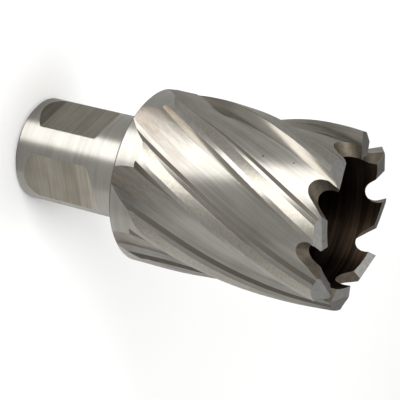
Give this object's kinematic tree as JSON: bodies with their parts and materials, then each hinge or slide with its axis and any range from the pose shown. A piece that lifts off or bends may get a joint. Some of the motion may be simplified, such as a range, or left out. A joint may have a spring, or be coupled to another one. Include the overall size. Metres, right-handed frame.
{
  "type": "annular cutter",
  "caption": "Hollow cylindrical metal cutter with helical flutes, a ring of teeth around its open end and a plain shank with two flats.",
  "frame": {"origin": "centre of the shank's end face, which is the base that the cutter stands on", "axes": "+Z along the tool's axis from the shank's end to the teeth; +X out through the middle of the first flat, and -Y out through the middle of the second"},
  "size_m": [0.0318, 0.0318, 0.0644],
  "materials": {
    "ground_steel": "ground bright"
  },
  "bodies": {
    "root": {"cutter": "ground_steel"}
  },
  "joints": []
}
